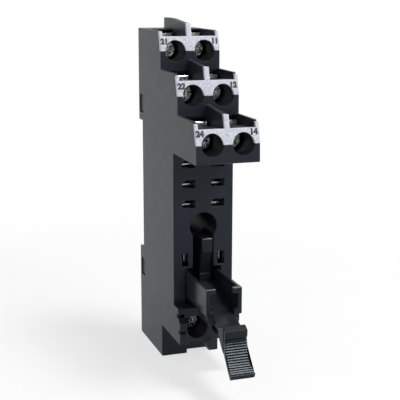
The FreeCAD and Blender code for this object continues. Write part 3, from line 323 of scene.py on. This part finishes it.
for digits, (across, foot) in numberSettings["places"].items():
    front, line = numberSettings["tiers"][digits[1]]
    work = bmesh.new()
    work.from_mesh(numberMesh(digits, numberSettings))
    bmesh.ops.remove_doubles(work, verts=work.verts, dist=cleaning["mergeWithin"])
    lean = numberSettings["lean"]
    depth = front * mm + math.tan(lean) * (foot - line) * mm - numberSettings["lift"]
    place = Matrix.Translation((across * mm, depth, foot * mm))
    stand = Matrix.Rotation(math.radians(90) - lean, 4, "X")
    bmesh.ops.transform(work, matrix=place @ stand, verts=work.verts)
    finishPiece(work, f"printedNumber_{digits}", "socket_body", None, numberInk)
print("numbers done")


# terminal screws: the head from the frame, and a cut M3 thread in place of the plain shank

# the screws' dark colour is painted shade: its near-black patches stand in for the black well that each head
# mirrors, and only the light colour is the plating
screwSettings = {"headThick": 1.3 * mm, "cutBelow": 0.02 * mm, "pitch": 0.5 * mm, "crest": 1.495 * mm,
                 "core": 1.2 * mm, "coreOverlap": 0.01 * mm, "coreSides": 24, "crestFrom": 0.4,
                 "crestTo": 0.5, "plainEnd": 0.05 * mm, "steps": 20, "edgeWidth": 0.08 * mm, "corner": 50.0,
                 "dark": "#38383a", "light": "#ecece9", "roughness": 0.17, "cloudSize": 0.7 * mm,
                 "cloudSpread": 0.1, "dentDepth": 0.2 * mm}
screwSteel = platedMetal("zincPlatedScrewSteel", screwSettings)


def threadOn(work, centre, start, end, settings):
    # one closed ridge, wound round the shank with its ends filled
    pitch, core, crest = settings["pitch"], settings["core"], settings["crest"]
    turns = (end - start - pitch) / pitch
    rungs = [(core, 0.0), (crest, settings["crestFrom"]), (crest, settings["crestTo"]), (core, 1.0)]
    profile = [work.verts.new((centre[0] + radius, start + share * pitch, centre[1]))
               for radius, share in rungs]
    ring = [work.edges.new(pair) for pair in zip(profile, profile[1:] + profile[:1])]
    steps = int(turns * settings["steps"])
    bmesh.ops.spin(work, geom=profile + ring, cent=(centre[0], start, centre[1]), axis=(0, 1, 0),
                   dvec=(0, turns * pitch / steps, 0), angle=2 * math.pi * turns, steps=steps,
                   use_merge=False, use_duplicate=False)
    bmesh.ops.holes_fill(work, edges=[edge for edge in work.edges if edge.is_boundary], sides=0)
    bmesh.ops.recalc_face_normals(work, faces=work.faces)


def coreOn(work, centre, start, end, settings):
    radius = settings["core"] + settings["coreOverlap"]
    place = Matrix.Translation((centre[0], (start + end) / 2, centre[1]))
    bmesh.ops.create_cone(work, cap_ends=True, cap_tris=False, segments=settings["coreSides"],
                          radius1=radius, radius2=radius, depth=end - start,
                          matrix=place @ Matrix.Rotation(math.pi / 2, 4, "X"))


for mark in terminals:
    screw = f"terminal_screw_{mark}"
    low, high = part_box(screw)
    centre = ((low[0] + high[0]) / 2, (low[2] + high[2]) / 2)
    seat = low[1] + screwSettings["headThick"]
    tail = high[1] - screwSettings["plainEnd"]
    work = mergedCopy(screw)
    bmesh.ops.bisect_plane(work, geom=work.verts[:] + work.edges[:] + work.faces[:], dist=0.0,
                           plane_co=(0, seat + screwSettings["cutBelow"], 0), plane_no=(0, 1, 0),
                           clear_outer=True)
    bmesh.ops.holes_fill(work, edges=[edge for edge in work.edges if edge.is_boundary], sides=0)
    roundEdges(work, screwSettings)
    coreOn(work, centre, seat, high[1], screwSettings)
    threadOn(work, centre, seat + screwSettings["plainEnd"], tail, screwSettings)
    finishPiece(work, f"terminalScrew_{mark}", f"screw_{mark}", screw, screwSteel, smooth=40.0)
print("screws done")


# folded wire clamps that ride on the screws, and the contact strips behind them

cageSettings = {"edgeWidth": 0.26 * mm, "edgeSteps": 1, "dark": "#d6d6d4", "light": "#f8f8f6",
                "roughness": 0.19, "cloudSize": 1.6 * mm, "cloudSpread": 0.3, "dentDepth": 0.006 * mm}
stripSettings = {"edgeWidth": 0.05 * mm, "dark": "#e2e1dd", "light": "#fbfaf7", "roughness": 0.2,
                 "cloudSize": 1.6 * mm, "cloudSpread": 0.3, "dentDepth": 0.004 * mm}
cageSteel = platedMetal("zincPlatedFoldedSteel", cageSettings)
stripAlloy = platedMetal("tinPlatedCopperAlloy", stripSettings)
for mark in terminals:
    work = mergedCopy(f"wire_clamp_{mark}")
    roundEdges(work, cageSettings)
    finishPiece(work, f"wireClamp_{mark}", f"clamp_{mark}", f"wire_clamp_{mark}", cageSteel)
    strip = f"contact_strip_{mark}"
    work = mergedCopy(strip)
    roundEdges(work, stripSettings)
    finishPiece(work, f"contactStrip_{mark}", "socket_body", strip, stripAlloy)
print("wire clamps and strips done")


# floor, backdrop, light and camera

stageSettings = {"floorZ": -43.65 * mm, "halfSize": 3.0, "dark": "#dcdcdc", "light": "#e2e2e2",
                 "cloudSize": 16.67 * mm, "near": 0.08, "far": 0.18, "nearWhite": 0.68}


def seenDirectly(material):
    # 1 for rays that look at a thing, in a mirror or through glass too, and 0 for its light
    path = addNode(material, "ShaderNodeLightPath")
    level = path.outputs["Is Camera Ray"]
    for kind in ("Is Glossy Ray", "Is Transmission Ray"):
        level = addNode(material, "ShaderNodeMath", {"operation": "MAXIMUM"}, Value=level,
                        Value_001=path.outputs[kind])
    return level


def stagePaper(name, finish):
    # seamless white paper, barely cloudy, which keeps the shadow near the part and runs out to pure
    # white behind it
    material, place = newMaterial(name)
    cloud = addNode(material, "ShaderNodeTexNoise", Vector=place, Scale=1 / finish["cloudSize"], Detail=4.0)
    colour = addNode(material, "ShaderNodeMix", {"data_type": "RGBA"}, Factor_Float=cloud,
                     A_Color=hexColour(finish["dark"]), B_Color=hexColour(finish["light"]))
    paper = addNode(material, "ShaderNodeBsdfPrincipled", BaseColor=colour, Roughness=0.9)
    away = addNode(material, "ShaderNodeVectorMath", {"operation": "LENGTH"}, Vector=place)
    share = addNode(material, "ShaderNodeMapRange", {"interpolation_type": "SMOOTHSTEP"}, Value=away,
                    FromMin=finish["near"], FromMax=finish["far"], ToMin=finish["nearWhite"], ToMax=1.0)
    amount = addNode(material, "ShaderNodeMath", {"operation": "MULTIPLY"}, Value=share,
                     Value_001=seenDirectly(material))
    white = addNode(material, "ShaderNodeEmission", Color=hexColour("#ffffff"), Strength=1.0)
    mixed = addNode(material, "ShaderNodeMixShader", Fac=amount, Shader=paper, Shader_001=white)
    return finishMaterial(material, mixed)


work = bmesh.new()
bmesh.ops.create_grid(work, x_segments=1, y_segments=1, size=stageSettings["halfSize"],
                      matrix=Matrix.Translation((0, 0, stageSettings["floorZ"])))
floorMesh = bpy.data.meshes.new("floor")
work.to_mesh(floorMesh)
work.free()
floorMesh.materials.append(stagePaper("seamlessPaperWhite", stageSettings))
floor = bpy.data.objects.new("floor", floorMesh)
bpy.context.scene.collection.objects.link(floor)

worldSettings = {"fill": 0.4, "shown": 1.0}
world = bpy.data.worlds.new("softStudio")
world.use_nodes = True
bpy.context.scene.world = world
world.node_tree.nodes.clear()
level = addNode(world, "ShaderNodeMapRange", Value=seenDirectly(world), ToMin=worldSettings["fill"],
                ToMax=worldSettings["shown"])
sky = addNode(world, "ShaderNodeBackground", Color=hexColour("#ffffff"), Strength=level)
addNode(world, "ShaderNodeOutputWorld", Surface=sky)

lampSettings = {
    "keyLeft": {"spot": (-0.62, -0.4, 0.62), "size": 0.6, "power": 0.6},
    "fillRight": {"spot": (0.75, -0.7, 0.45), "size": 0.8, "power": 0.6},
    "topRight": {"spot": (0.27, -0.2, 0.77), "size": 0.24, "power": 6.0},
    "lowRight": {"spot": (0.3, -0.71, 0.5), "size": 0.15, "power": 1.7},
}
for name, lamp in lampSettings.items():
    light = bpy.data.lights.new(name, "AREA")
    light.shape = "SQUARE"
    light.size = lamp["size"]
    light.energy = lamp["power"]
    holder = bpy.data.objects.new(name, light)
    holder.location = lamp["spot"]
    holder.rotation_mode = "QUATERNION"
    holder.rotation_quaternion = (-Vector(lamp["spot"])).to_track_quat("-Z", "Y")
    bpy.context.scene.collection.objects.link(holder)

cameraSettings = {"lens": 87.689, "sensor": 36, "clip": (0.01, 20), "spot": (-78.112, -254.018, 53.817),
                  "yaw": 18.862, "pitch": 12.454, "roll": 0.128}
camera = bpy.data.cameras.new("photoView")
camera.lens = cameraSettings["lens"]
camera.sensor_width = cameraSettings["sensor"]
camera.clip_start, camera.clip_end = cameraSettings["clip"]
viewer = bpy.data.objects.new("photoView", camera)
place = Matrix.Translation(Vector(cameraSettings["spot"]) * mm)
turn = Matrix.Rotation(math.radians(-cameraSettings["yaw"]), 4, "Z")
tip = Matrix.Rotation(math.radians(90 - cameraSettings["pitch"]), 4, "X")
roll = Matrix.Rotation(math.radians(cameraSettings["roll"]), 4, "Z")
viewer.matrix_world = place @ turn @ tip @ roll
bpy.context.scene.collection.objects.link(viewer)
bpy.context.scene.camera = viewer
bpy.context.scene.view_settings.view_transform = "Standard"
print("stage, lamps and camera set")
